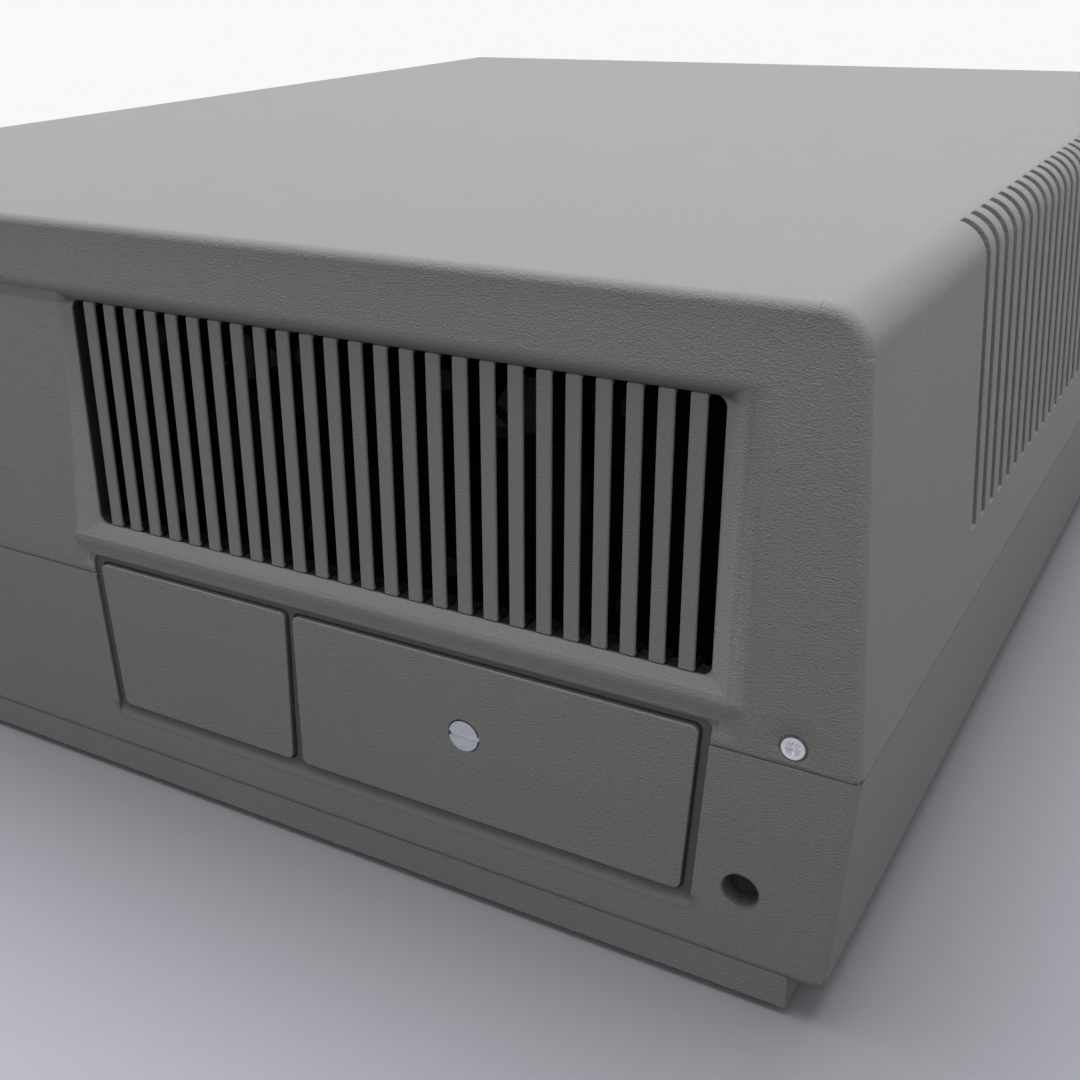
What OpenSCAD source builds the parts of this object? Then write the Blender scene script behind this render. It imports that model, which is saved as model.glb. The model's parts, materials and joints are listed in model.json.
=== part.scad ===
/* [Case] */
// Width of the case at the seam, its widest level
case_w = 428; // [410:1:450]
// Depth of the case from the rear face to the front rim
case_d = 534; // [510:1:560]
// Height of the lower shell
lower_h = 59.4; // [57:0.2:64]
// Height of the upper shell
upper_h = 106.1; // [104:0.1:116]
// Wall thickness of the plastic shells
wall = 3; // [2.4:0.1:3.4]
// How far each side of the upper shell leans in at the top
upper_lean = 7.6; // [5:0.1:9]
// How far each side of the lower shell leans in at the bottom
lower_lean = 3.5; // [2:0.1:5]
// Radius between the top and the two sides
top_r = 10.4; // [7:0.1:12]
// Radius round the edges of the rear face and the front rim
face_r = 2.6; // [1.5:0.1:2.8]
// Radius along the bottom edges of the sides
base_r = 3; // [3:0.1:4]

/* [Plinth and feet] */
// Height of the plinth band under the case
plinth_h = 8.6; // [7:0.1:11]
// How far the plinth stays in from each side of the case
plinth_inset = 12.3; // [10:0.1:15]
// Height of the rubber feet below the plinth
foot_h = 2; // [1.5:0.1:4]
// Diameter of a rubber foot
foot_dia = 20; // [16:0.5:24]

/* [Rear grille] */
// Width of the grille opening
grille_w = 193.1; // [180:0.1:196]
// Height of the grille opening
grille_h = 67.4; // [62:0.1:69]
// Distance from the right side of the case to the grille opening
grille_side = 36.9; // [35:0.1:42]
// Height of the grille opening above the seam
grille_rise = 16.1; // [15:0.1:18]
// Depth of the bevelled pocket round the grille opening
pocket_depth = 3.1; // [2:0.1:4]
// Width of one upright slat
slat_w = 4.05; // [3:0.05:4.5]
// Distance from slat to slat
slat_pitch = 7.51; // [6.8:0.01:8.4]
// Depth of the slats and of the collar that they stand in
collar_depth = 4.4; // [3.5:0.1:6]

/* [Rear covers] */
// Width of the recess that the two covers share, along its top
recess_w = 197.5; // [190:0.1:200]
// Distance from the right side of the case to the recess
recess_side = 35; // [33:0.1:40]
// Height of the recess, from its foot to its top
recess_h = 52; // [50:0.1:53]
// How far the recess reaches above the seam
recess_rise = 6.4; // [5.5:0.1:7]
// Depth of the recess behind the rear face
recess_depth = 1.5; // [1:0.1:2]
// Width of the small cover along its top
small_w = 69.3; // [60:0.1:74]
// Thickness of a cover plate
cover_t = 2.5; // [2:0.1:3]
// Diameter of the slotted head of the cover fastener
fastener_dia = 8.8; // [7:0.1:10]
// Diameter of the fastener's shank
fastener_shank = 5; // [4:0.1:5.5]

/* [Side vents] */
// Number of slots in each side
vent_count = 31; // [20:1:32]
// Distance from slot to slot
vent_pitch = 10.95; // [9:0.05:11.2]
// Width of one slot
vent_w = 4.85; // [3:0.05:5.5]
// How far the slots reach in from the side over the top
vent_reach = 14.6; // [12:0.1:18]
// Height of the lower ends of the slots above the seam
vent_rise = 23.6; // [20:0.1:30]

/* [Screws and socket] */
// Head diameter of the screws that close the seam
screw_head = 5.6; // [5:0.1:6.2]
// Thread diameter of the small screws
screw_dia = 2.8; // [2.4:0.1:3]
// Diameter of the blind socket low on the rear face
socket_dia = 9.4; // [8:0.1:11]
// Depth of the blind socket
socket_depth = 6.8; // [5:0.1:8]

/* [Front] */
// How far the fascia stands back from the front rim
fascia_set = 10; // [9:0.5:14]
// Thickness of the fascia
fascia_t = 3; // [2.4:0.1:3.6]
// Width of the disk drive
drive_w = 146; // [140:1:150]
// Height of the disk drive
drive_h = 41.4; // [40:0.2:44]
// Depth of the disk drive behind its faceplate
drive_d = 190; // [180:1:200]
// Width of the power rocker
rocker_w = 12; // [10:0.5:14]
// Height of the power rocker
rocker_h = 22; // [18:0.5:24]
// Angle that the power rocker travels
rocker_swing = 16; // [10:1:18]
// Diameter of the reset button
button_dia = 8; // [6:0.5:10]
// Travel of the reset button
button_travel = 2.5; // [1.5:0.1:3]

/* [Inside] */
// Side of a square fan frame
fan_size = 60; // [56:1:62]
// Depth of a fan
fan_depth = 25; // [20:1:28]
// Number of blades on a fan rotor
blade_count = 7; // [5:1:9]
// Width of the power supply box
supply_w = 84; // [76:1:86]
// Depth of the power supply box
supply_d = 200; // [180:1:210]
// Height of the power supply box
supply_h = 110; // [104:1:114]
// Clear space between the power supply and the mainboard
board_clear = 13.7; // [9:0.1:18]
// Depth of the mainboard
board_d = 280; // [260:1:290]
// Thickness of the mainboard
board_t = 1.6; // [1.2:0.1:2]
// Height of the standoffs under the mainboard
standoff_h = 8; // [6:0.5:10]
// Thickness of the sheet metal parts
sheet = 1.2; // [1:0.1:1.6]

/* [Hidden] */
$fn = 64;

// One overrun for every cut that runs out of a piece
over = 1;
// Small step that lets two cuts of one corner meet
lap = 0.01;
// Lengths of small hidden details
boss_h = 2;
receptacle_end = 2;
pin_hole = 3;
screw_bite = 2;
pin_w = 4;
pin_t = 2;
speaker_slot = 2;
groove_h = 1;
lever_tail = 2;
// Gap between fixed pieces that are fitted side by side
fit = 0.3;
// Running gap on the radius of a shaft
run = 0.06;

// Levels, from the floor up
case_z = foot_h + plinth_h;
seam_z = case_z + lower_h;
top_z = seam_z + upper_h;
floor_z = case_z + wall;
// Rear face and front rim
rear_y = -case_d / 2;
front_y = case_d / 2;
side_x = case_w / 2;
upper_a = atan(upper_lean / upper_h);
lower_a = atan(lower_lean / lower_h);

// Extrudes an outline drawn in X and Z along Y
module along_y(y, l)
    translate([0, y + l, 0])
        rotate([90, 0, 0])
            linear_extrude(height = l)
                children();
// Extrudes an outline drawn in Y and Z along X
module along_x(x, l)
    translate([x, 0, 0])
        rotate([90, 0, 90])
            linear_extrude(height = l)
                children();
// Extrudes an outline drawn in X and Y up from a level
module along_z(z, l)
    translate([0, 0, z])
        linear_extrude(height = l)
            children();
// Box given by its two opposite corners
module box(a, b)
    translate(a)
        cube(b - a);
// Round bar along Y between two places
module rod_y(x, z, y0, y1, d)
    translate([x, y1, z])
        rotate([90, 0, 0])
            cylinder(h = y1 - y0, d = d);
module rod_x(y, z, x0, x1, d)
    translate([x0, y, z])
        rotate([0, 90, 0])
            cylinder(h = x1 - x0, d = d);
module rod_z(x, y, z0, z1, d)
    translate([x, y, z0])
        cylinder(h = z1 - z0, d = d);
module both_sides() {
    children();
    mirror([1, 0, 0])
        children();
}

function unit(v) = v / norm(v);
// The piece that rounds one corner of an outline, as a cut; the share carries it past the corner
corner_share = 0.3;
module corner_cut(p, v, n, r, more = 0) {
    u = unit(p - v);
    w = unit(n - v);
    half = acos(u * w) / 2;
    t = r / tan(half);
    c = v + unit(u + w) * r / sin(half);
    difference() {
        polygon([v + u * t, v + (v - c) * corner_share, v + w * t, c]);
        translate(c)
            circle(r = r + more);
    }
}
// Outline with every corner rounded; each arc is a hair large, so it crosses the straight edges
arc_more = 0.004;
module rounded(pts, r)
    difference() {
        polygon(pts);
        for (i = [0 : len(pts) - 1])
            corner_cut(pts[(i + len(pts) - 1) % len(pts)], pts[i], pts[(i + 1) % len(pts)], r, arc_more);
    }
function rect(x0, z0, x1, z1) = [[x0, z0], [x1, z0], [x1, z1], [x0, z1]];
// Cut that rounds a straight edge whose corner is the origin, with the solid left and below
module edge_cut(r)
    translate([-r, -r])
        difference() {
            square([r + over, r + over]);
            circle(r = r);
        }

// Upper section, set in by t all round, with its lower edge at z
module upper_section(t, z) {
    x0 = side_x - t / cos(upper_a) + (seam_z - z) * tan(upper_a);
    x1 = side_x - t / cos(upper_a) - (upper_h - t) * tan(upper_a);
    r = top_r - t;
    difference() {
        polygon([[-x0, z], [x0, z], [x1, top_z - t], [-x1, top_z - t]]);
        corner_cut([x0, z], [x1, top_z - t], [-x1, top_z - t], r);
        corner_cut([x1, top_z - t], [-x1, top_z - t], [-x0, z], r);
    }
}
// Lower section, set in by t all round, with its upper edge at z
module lower_section(t, z) {
    x0 = side_x - t / cos(lower_a) + (z - seam_z) * tan(lower_a);
    x1 = side_x - t / cos(lower_a) - (lower_h - t) * tan(lower_a);
    r = max(base_r - t, base_r / 4);
    difference() {
        polygon([[-x1, case_z + t], [x1, case_z + t], [x0, z], [-x0, z]]);
        corner_cut([-x1, case_z + t], [x1, case_z + t], [x0, z], r);
        corner_cut([-x0, z], [-x1, case_z + t], [x1, case_z + t], r);
    }
}

// Centre of the rounded corner of the upper section
corner_z = top_z - top_r;
corner_x = side_x - (corner_z - seam_z) * tan(upper_a) - top_r / cos(upper_a);
side_len = (corner_z - seam_z + top_r * sin(upper_a)) / cos(upper_a);
// Centre of the rounded corner of the lower section
sill_z = case_z + base_r;
sill_x = side_x - (seam_z - sill_z) * tan(lower_a) - base_r / cos(lower_a);
sill_len = (seam_z - sill_z + base_r * sin(lower_a)) / cos(lower_a);
// The front rim is only a wall thick, so its rounding stays under that
rim_share = 0.8;
rim_r = min(face_r, wall * rim_share);
// Straight edge cuts stop short of a corner, and the corner's own cut runs on a little past it
meet = 0.4;
corner_more = asin(2.4 * meet / top_r);
sill_more = asin(1.4 * meet / base_r);
// Rounds the outer edges of one end of the upper shell
module upper_face_cuts(r) {
    along_x(-corner_x + meet, 2 * (corner_x - meet))
        translate([rear_y, top_z])
            mirror([1, 0])
                edge_cut(r);
    both_sides() {
        translate([corner_x, rear_y, corner_z])
            rotate([90, 0, 0])
                rotate([0, 0, upper_a - corner_more])
                    rotate_extrude(angle = 90 - upper_a + 2 * corner_more)
                        translate([top_r, 0])
                            edge_cut(r);
        translate([side_x, rear_y, seam_z])
            rotate([0, -upper_a, 0])
                translate([0, 0, -over])
                    linear_extrude(height = side_len + over - meet)
                        mirror([0, 1])
                            edge_cut(r);
    }
}
// Rounds the outer edges of one end of the lower shell
module lower_face_cuts(r) {
    along_x(-sill_x + meet, 2 * (sill_x - meet))
        translate([rear_y, case_z])
            mirror([1, 0])
                mirror([0, 1])
                    edge_cut(r);
    both_sides() {
        translate([sill_x, rear_y, sill_z])
            rotate([90, 0, 0])
                rotate([0, 0, -90 - sill_more])
                    rotate_extrude(angle = 90 - lower_a + 2 * sill_more)
                        translate([base_r, 0])
                            edge_cut(r);
        translate([side_x, rear_y, seam_z])
            rotate([0, lower_a, 0])
                translate([0, 0, -sill_len + meet])
                    linear_extrude(height = sill_len - meet + over)
                        mirror([0, 1])
                            edge_cut(r);
    }
}

// Grille opening, pocket and pad
grille_x1 = side_x - grille_side;
grille_x0 = grille_x1 - grille_w;
grille_z0 = seam_z + grille_rise;
grille_z1 = grille_z0 + grille_h;
grille_r = 2.9;
pocket_top = 3.9;
pocket_foot = 3.5;
pocket_flat = 0.6;
pocket_ramp = 11;
panel_meet = 0.2;
pad_edge = 9;
pad_y = rear_y + pocket_depth + collar_depth;
lip_z = grille_z1 + pocket_top;
// Shallow panel left of the grille, as wide as it lies from the left side
panel_x1 = grille_x0 - pocket_flat - pocket_ramp * panel_meet;
panel_x0 = -(grille_x1 + pocket_flat + pocket_ramp);
panel_depth = 1.2;
// Soft curves of the moulded hollows, in short flat steps
ease_steps = 8;
function ease(t) = t * t * (3 - 2 * t);
lip_soft = 1.5;
sill_soft = 0.8;
sill_bend = 0.7;
sill_run = (1 + sill_bend) / 2;
lip_start = lip_z + lip_soft;
sill_end = grille_z0 - pocket_foot - sill_soft;
strip_dip = 0.7;
strip_z = seam_z + recess_rise;
lip_pts = concat([[rear_y - over, lip_start]], [for (i = [0 : ease_steps]) let (t = i / ease_steps)
    [rear_y + pocket_depth * t * t, lip_start + (grille_z1 - lip_start) * t]]);
function sill_share(t) = t < sill_bend ? 1 - t / sill_run
    : (1 - t) * (1 - t) * (1 - sill_bend / sill_run) / ((1 - sill_bend) * (1 - sill_bend));
// Below the sill the face leans in a little toward the recess, and comes back behind its edge
sill_pts = concat([for (i = [0 : ease_steps]) let (t = i / ease_steps)
    [rear_y + pocket_depth * sill_share(t), grille_z0 + (sill_end - grille_z0) * t]],
    [for (i = [1 : 2 * ease_steps]) let (t = i / ease_steps)
        [rear_y + strip_dip * (1 - cos(180 * t)) / 2, sill_end - (sill_end - strip_z) * t]],
    [[rear_y - over, 2 * strip_z - sill_end]]);
function ramp_pts(x, run) = [for (i = [0 : ease_steps]) let (t = i / ease_steps)
    [x + run * t, rear_y + pocket_depth * pow(1 - t, 3)]];
function turned(pts) = [for (i = [1 : len(pts)]) pts[len(pts) - i]];
module pocket_cut()
    intersection() {
        along_x(-side_x, case_w)
            polygon(concat(lip_pts, sill_pts));
        along_z(seam_z, upper_h)
            polygon(concat([[grille_x0 - pocket_flat - pocket_ramp, rear_y - over]],
                turned(ramp_pts(grille_x0 - pocket_flat, -pocket_ramp)),
                ramp_pts(grille_x1 + pocket_flat, pocket_ramp),
                [[grille_x1 + pocket_flat + pocket_ramp, rear_y - over]]));
    }
module panel_cut()
    along_x(panel_x0, panel_x1 - panel_x0)
        intersection() {
            polygon(concat(lip_pts, [[rear_y + pocket_depth, seam_z], [rear_y - over, seam_z]]));
            polygon([[rear_y - over, lip_start + over], [rear_y + panel_depth, lip_start + over],
                [rear_y + panel_depth, grille_z1],
                [rear_y, seam_z + recess_rise], [rear_y - over, seam_z + recess_rise]]);
        }
module grille_hole(gap)
    rounded(rect(grille_x0 + gap, grille_z0 + gap, grille_x1 - gap, grille_z1 - gap), grille_r - gap);

// Recess and covers
recess_x1 = side_x - recess_side;
recess_x0 = recess_x1 - recess_w;
recess_z1 = seam_z + recess_rise;
recess_z0 = recess_z1 - recess_h;
recess_taper = 3.2;
recess_r = 2.6;
ledge = 3.2;
ledge_top = 2.5;
cover_gap = 0.5;
cover_bar = 2.7;
cover_r = 2;
seat_w = 2.4;
cover_z1 = recess_z1 - ledge_top;
cover_z0 = recess_z0 + ledge_top;
// The recess runs out to the face in a soft curve under the covers
foot_z1 = cover_z0 - cover_gap;
foot_z0 = recess_z0 - ledge_top;
cover_back = 2;
cover_pad = wall + cover_back;
// Sides of the covers lean in toward the foot like the recess
small_x0 = recess_x0 + ledge;
small_x1 = small_x0 + small_w;
large_x0 = small_x1 + cover_bar;
large_x1 = recess_x1 - ledge;
cover_lean = recess_taper * (cover_z1 - cover_z0) / recess_h;
function cover_pts(a, b, la, lb, g) = [[a + la + g, cover_z0 + g], [b - lb - g, cover_z0 + g],
    [b - g, cover_z1 - g], [a + g, cover_z1 - g]];
module small_outline(g) rounded(cover_pts(small_x0, small_x1, cover_lean, cover_lean / 3, g), cover_r);
module large_outline(g) rounded(cover_pts(large_x0, large_x1, 0, cover_lean, g), cover_r);
module recess_cut()
    intersection() {
        along_y(rear_y - over, recess_depth + over)
            rounded([[recess_x0 + recess_taper, foot_z0], [recess_x1 - recess_taper, foot_z0],
                [recess_x1, recess_z1], [recess_x0, recess_z1]], recess_r);
        along_x(recess_x0 - over, recess_w + 2 * over)
            polygon(concat([[rear_y - over, recess_z1 + over], [rear_y + recess_depth + over, recess_z1 + over],
                [rear_y + recess_depth + over, foot_z1]],
                [for (i = [0 : ease_steps]) let (t = i / ease_steps)
                    [rear_y + recess_depth * (1 - ease(t)), foot_z1 + (foot_z0 - foot_z1) * t]],
                [[rear_y - over, foot_z0]]));
    }
module cover_holes() {
    along_y(rear_y - over, cover_t + fit + over) {
        small_outline(-cover_gap);
        large_outline(-cover_gap);
    }
    along_y(rear_y, cover_pad + over) {
        small_outline(seat_w);
        large_outline(seat_w);
    }
}
pad_x0 = recess_x0 - ledge;
pad_x1 = recess_x1 + ledge;

// Screws that close the seam on the rear face
seam_screw_side = 15.8;
seam_screw_rise = 5.1;
seam_screw_x = side_x - seam_screw_side;
seam_screw_z = seam_z + seam_screw_rise;
bore_play = 1.4;
head_depth = 1.9;
head_h = 1.7;
dish_r = 9;
dish_depth = 0.45;
// Centre of the sphere whose cap is the dish
dish_ball = (dish_r * dish_r + dish_depth * dish_depth) / (2 * dish_depth);
lug_w = 8;
lug_t = 8;
lug_play = 0.3;
screw_play = 0.2;
screw_len = 9;
module seam_screw_cuts()
    both_sides() {
        rod_y(seam_screw_x, seam_screw_z, rear_y - over, rear_y + head_depth, screw_head + bore_play);
        rod_y(seam_screw_x, seam_screw_z, rear_y, rear_y + wall + over, screw_dia + 2 * screw_play);
    }

// Soft dip above the seam on the rear face: its height and its depth
seam_r = 4;
seam_dip = 0.2;
seam_v = 0.55;
tongue_h = 4;
tongue_t = 1.4;

// Side vents, evenly about the middle of the depth
vent_x = side_x - vent_reach;
vent_z = seam_z + vent_rise;
vent_y0 = -(vent_count - 1) * vent_pitch / 2;
module vent_cuts()
    for (i = [0 : vent_count - 1])
        both_sides()
            box([vent_x, vent_y0 + i * vent_pitch - vent_w / 2, vent_z],
                [side_x + over, vent_y0 + i * vent_pitch + vent_w / 2, top_z + over]);

// Bosses on the pad for the fan bracket
bracket_edge = 14;
bracket_z_in = 5;
bracket_x0 = grille_x0 - bracket_edge;
bracket_x1 = grille_x1 + bracket_edge;
bracket_hole = 5;
boss_dia = 8;
flange_t = 2;
bracket_y = pad_y + flange_t + head_h + 2 * fit;
function bracket_spots() = [for (x = [bracket_x0 + bracket_hole, bracket_x1 - bracket_hole])
    for (z = [grille_z0 + bracket_z_in, grille_z1 - bracket_z_in]) [x, z]];

// Mains inlet and fuse in the left panel
inlet_w = 28;
inlet_h = 20;
inlet_d = 20;
rear_parts_z = grille_z0 + inlet_h / 2;
fuse_dia = 13;
fuse_wall = 2;

module upper_case() {
    color("dimgray")
        difference() {
            union() {
                difference() {
                    along_y(rear_y, case_d) upper_section(0, seam_z);
                    along_y(rear_y + wall, case_d) upper_section(wall, seam_z - over);
                }
                // Thick pad round the grille
                box([grille_x0 - pad_edge - bracket_edge / 2, rear_y + wall - lap, grille_z0 - pad_edge],
                    [grille_x1 + pad_edge + bracket_edge / 2, pad_y, grille_z1 + pad_edge]);
                // Strip over the covers
                box([pad_x0, rear_y + wall - lap, seam_z], [pad_x1, rear_y + cover_pad, recess_z1 + ledge]);
                for (p = bracket_spots())
                    rod_y(p[0], p[1], pad_y - lap, bracket_y, boss_dia);
                // Stiffening ribs under the top
                for (i = [-1, 0, 1])
                    box([-corner_x + top_r, i * case_d / 4 - wall / 2, top_z - 3 * wall],
                        [corner_x - top_r, i * case_d / 4 + wall / 2, top_z - wall + lap]);
            }
            upper_face_cuts(face_r);
            mirror([0, 1, 0]) upper_face_cuts(rim_r);
            pocket_cut();
            panel_cut();
            along_y(rear_y, pad_y - rear_y + over) grille_hole(0);
            recess_cut();
            cover_holes();
            seam_screw_cuts();
            // Soft dish round each seam screw
            both_sides()
                translate([seam_screw_x, rear_y - dish_ball + dish_depth, seam_screw_z])
                    sphere(r = dish_ball);
            vent_cuts();
            for (p = bracket_spots())
                rod_y(p[0], p[1], pad_y - collar_depth + over, bracket_y + over, screw_dia + 2 * screw_play);
            // Soft dip down to the seam on the rear face, and a fine line along it and along the sides
            along_x(-side_x - over, case_w + 2 * over)
                polygon(concat([[rear_y - over, seam_z - over], [rear_y + seam_dip + seam_v, seam_z - over],
                    [rear_y + seam_dip + seam_v, seam_z]],
                    [for (i = [1 : ease_steps]) let (t = i / ease_steps)
                        [rear_y + seam_dip * (1 - t) * (1 - t), seam_z + seam_r * t]],
                    [[rear_y - over, seam_z + seam_r]]));
            both_sides()
                along_y(rear_y - over, case_d + 2 * over)
                    polygon([[side_x + over, seam_z - over], [side_x - seam_v, seam_z - lap],
                        [side_x + over, seam_z + seam_v]]);
            // Openings for the mains inlet and the fuse
            box([inlet_mid_x - inlet_w / 2 - fit, rear_y - over, rear_parts_z - inlet_h / 2 - fit],
                [inlet_mid_x + inlet_w / 2 + fit, rear_y + wall + over, rear_parts_z + inlet_h / 2 + fit]);
            rod_y(fuse_mid_x, rear_parts_z, rear_y - over, rear_y + wall + over,
                fuse_dia + 2 * fuse_wall + 2 * fit);
        }
}

// Blind socket low on the rear face
socket_side = 25.55;
socket_rise = 21.7;
socket_x = side_x - socket_side;
socket_z = case_z + socket_rise;
socket_wall = 3;

// Screws from below
base_side = 18;
base_end = 27;
base_boss = 9;
base_boss_h = 3.4;
base_head = 6.4;
base_spots = [for (y = [rear_y + base_end, 0, front_y - base_end]) [side_x - base_side, y]];

module lower_case() {
    color("dimgray")
        difference() {
            union() {
                difference() {
                    along_y(rear_y, case_d) lower_section(0, seam_z);
                    along_y(rear_y + wall, case_d) lower_section(wall, seam_z + over);
                }
                box([pad_x0, rear_y + wall - lap, recess_z0 - 3 * ledge_top],
                    [pad_x1, rear_y + cover_pad, seam_z]);
                rod_y(socket_x, socket_z, rear_y + wall - lap, rear_y + socket_depth + socket_wall,
                    socket_dia + 2 * socket_wall);
                // Lugs behind the rear wall that the seam screws bite into
                both_sides()
                    box([seam_screw_x - lug_w / 2, rear_y + wall + lug_play, seam_z - lug_w],
                        [seam_screw_x + lug_w / 2, rear_y + wall + lug_play + lug_t,
                            seam_screw_z + lug_w / 2]);
                both_sides()
                    box([seam_screw_x - lug_w / 2, rear_y + wall - lap, seam_z - 2 * lug_w],
                        [seam_screw_x + lug_w / 2, rear_y + wall + lug_play + lug_t, seam_z - lug_w + lap]);
                // Tongue that keeps the shells in line
                both_sides()
                    box([side_x - wall - fit - tongue_t - tongue_h * tan(upper_a), rear_y + case_d / 8,
                            seam_z - tongue_h],
                        [side_x - wall - fit - tongue_h * tan(upper_a), front_y - case_d / 8,
                            seam_z + tongue_h]);
                both_sides()
                    box([side_x - wall - fit - tongue_t - tongue_h * tan(upper_a), rear_y + case_d / 8,
                            seam_z - 2 * tongue_h],
                        [side_x - wall + lap, front_y - case_d / 8, seam_z - tongue_h + lap]);
                both_sides()
                    for (p = base_spots)
                        rod_z(p[0], p[1], floor_z - lap, floor_z + base_boss_h, base_boss);
            }
            lower_face_cuts(face_r);
            mirror([0, 1, 0]) lower_face_cuts(rim_r);
            recess_cut();
            cover_holes();
            rod_y(socket_x, socket_z, rear_y - over, rear_y + socket_depth, socket_dia);
            both_sides()
                rod_y(seam_screw_x, seam_screw_z, rear_y, rear_y + wall + lug_play + lug_t + over,
                    screw_dia + 2 * screw_play);
            both_sides()
                for (p = base_spots)
                    rod_z(p[0], p[1], case_z - over, floor_z + base_boss_h + over,
                        screw_dia + 2 * screw_play);
        }
}

plinth_x = side_x - plinth_inset;
plinth_set = 0.3;
plinth_t = 2.4;
crease = 0.08;
foot_in = 26;
foot_seat = 1;
foot_spots = [for (y = [rear_y + 2 * foot_in, front_y - 2 * foot_in]) [plinth_x - foot_in, y]];
module base_plinth() {
    color("dimgray")
        difference() {
            union() {
                difference() {
                    box([-plinth_x, rear_y + plinth_set, foot_h], [plinth_x, front_y - plinth_set, case_z]);
                    box([-plinth_x + plinth_t, rear_y + plinth_set + plinth_t, foot_h + plinth_t],
                        [plinth_x - plinth_t, front_y - plinth_set - plinth_t, case_z + over]);
                }
                both_sides()
                    for (p = base_spots)
                        rod_z(p[0], p[1], foot_h + plinth_t - lap, case_z, base_boss + 2 * fit);
                // Fine lip that follows the rounded foot of the lower shell at both ends
                for (m = [0, 1])
                    mirror([0, m, 0])
                        along_x(-plinth_x, 2 * plinth_x)
                            difference() {
                                polygon([[rear_y + plinth_set, case_z - lap], [rear_y + face_r, case_z - lap],
                                    [rear_y + face_r, case_z + face_r], [rear_y + plinth_set, case_z + face_r]]);
                                translate([rear_y + face_r, case_z + face_r])
                                    circle(r = face_r + crease);
                            }
                // Cross ribs that carry the floor of the lower shell
                for (i = [-1, 1])
                    box([-plinth_x + plinth_t - lap, i * case_d / 6 - plinth_t / 2, foot_h + plinth_t - lap],
                        [plinth_x - plinth_t + lap, i * case_d / 6 + plinth_t / 2, case_z]);
            }
            both_sides()
                for (p = base_spots) {
                    rod_z(p[0], p[1], foot_h - over, case_z + over, screw_dia + 2 * screw_play);
                    rod_z(p[0], p[1], foot_h - over, foot_h + head_h + fit, base_head + 2 * fit);
                }
            both_sides()
                for (p = foot_spots)
                    rod_z(p[0], p[1], foot_h - over, foot_h + foot_seat, foot_dia + 2 * fit);
        }
}
module rubber_feet() {
    color("black")
        both_sides()
            for (p = foot_spots)
                difference() {
                    rod_z(p[0], p[1], 0, foot_h + foot_seat, foot_dia);
                    rod_z(p[0], p[1], -over, foot_h / 2, foot_dia / 3);
                }
}
module base_screws() {
    color("silver")
        both_sides()
            for (p = base_spots)
                difference() {
                    union() {
                        rod_z(p[0], p[1], foot_h + fit, foot_h + fit + head_h, base_head);
                        rod_z(p[0], p[1], foot_h + fit + head_h - lap, floor_z + base_boss_h, screw_dia);
                    }
                    for (a = [0, 90])
                        translate([p[0], p[1], foot_h + fit])
                            rotate([0, 0, a])
                                cube([base_head * 0.6, base_head * 0.14, head_h], center = true);
                }
}
// Pan head with a flat top and a fine cross
module case_screws() {
    color("gainsboro")
        both_sides()
            difference() {
                union() {
                    rod_y(seam_screw_x, seam_screw_z, rear_y + head_depth - head_h, rear_y + head_depth,
                        screw_head);
                    rod_y(seam_screw_x, seam_screw_z, rear_y + head_depth - lap,
                        rear_y + head_depth + screw_len, screw_dia);
                }
                for (a = [0, 90])
                    translate([seam_screw_x, rear_y + head_depth - head_h, seam_screw_z])
                        rotate([0, a, 0])
                            cube([screw_head * 0.62, head_h, screw_head * 0.13], center = true);
            }
}

// Grille insert: slats in front of a frame that lies behind the collar
slat_count = floor((grille_w - slat_w) / slat_pitch);
slat_play = 0.15;
slat_t = 1.2;
slat_end = 1.2;
slat_x0 = grille_x0 + (grille_w - (slat_count - 1) * slat_pitch - slat_w) / 2;
flange_w = 4;
module rear_grille() {
    color("dimgray") {
        difference() {
            along_y(pad_y, flange_t)
                rounded(rect(grille_x0 - flange_w, grille_z0 - flange_w, grille_x1 + flange_w,
                    grille_z1 + flange_w), flange_w);
            along_y(pad_y - over, flange_t + 2 * over) grille_hole(slat_play);
        }
        for (i = [0 : slat_count - 1])
            translate([slat_x0 + i * slat_pitch, 0, 0]) {
                box([0, rear_y + pocket_depth, grille_z0 + slat_play],
                    [slat_w, rear_y + pocket_depth + slat_t, grille_z1 - slat_play]);
                // Each end runs back along the collar and into the frame
                for (z = [grille_z0 + slat_play, grille_z1 - slat_play - slat_end])
                    box([0, rear_y + pocket_depth, z], [slat_w, pad_y + flange_t - lap, z + slat_end]);
                box([0, pad_y + lap, grille_z0 - slat_play],
                    [slat_w, pad_y + flange_t - lap, grille_z0 + slat_end]);
                box([0, pad_y + lap, grille_z1 - slat_end],
                    [slat_w, pad_y + flange_t - lap, grille_z1 + slat_play]);
            }
    }
}

// Covers with a skirt that enters the opening behind the seat
skirt_t = 1.6;
skirt_depth = cover_pad - cover_t;
module small_cover() {
    color("dimgray") {
        along_y(rear_y, cover_t) small_outline(0);
        difference() {
            along_y(rear_y + cover_t - lap, skirt_depth) small_outline(seat_w + fit);
            along_y(rear_y + cover_t - 2 * lap, skirt_depth + over) small_outline(seat_w + fit + skirt_t);
        }
    }
}
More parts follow.
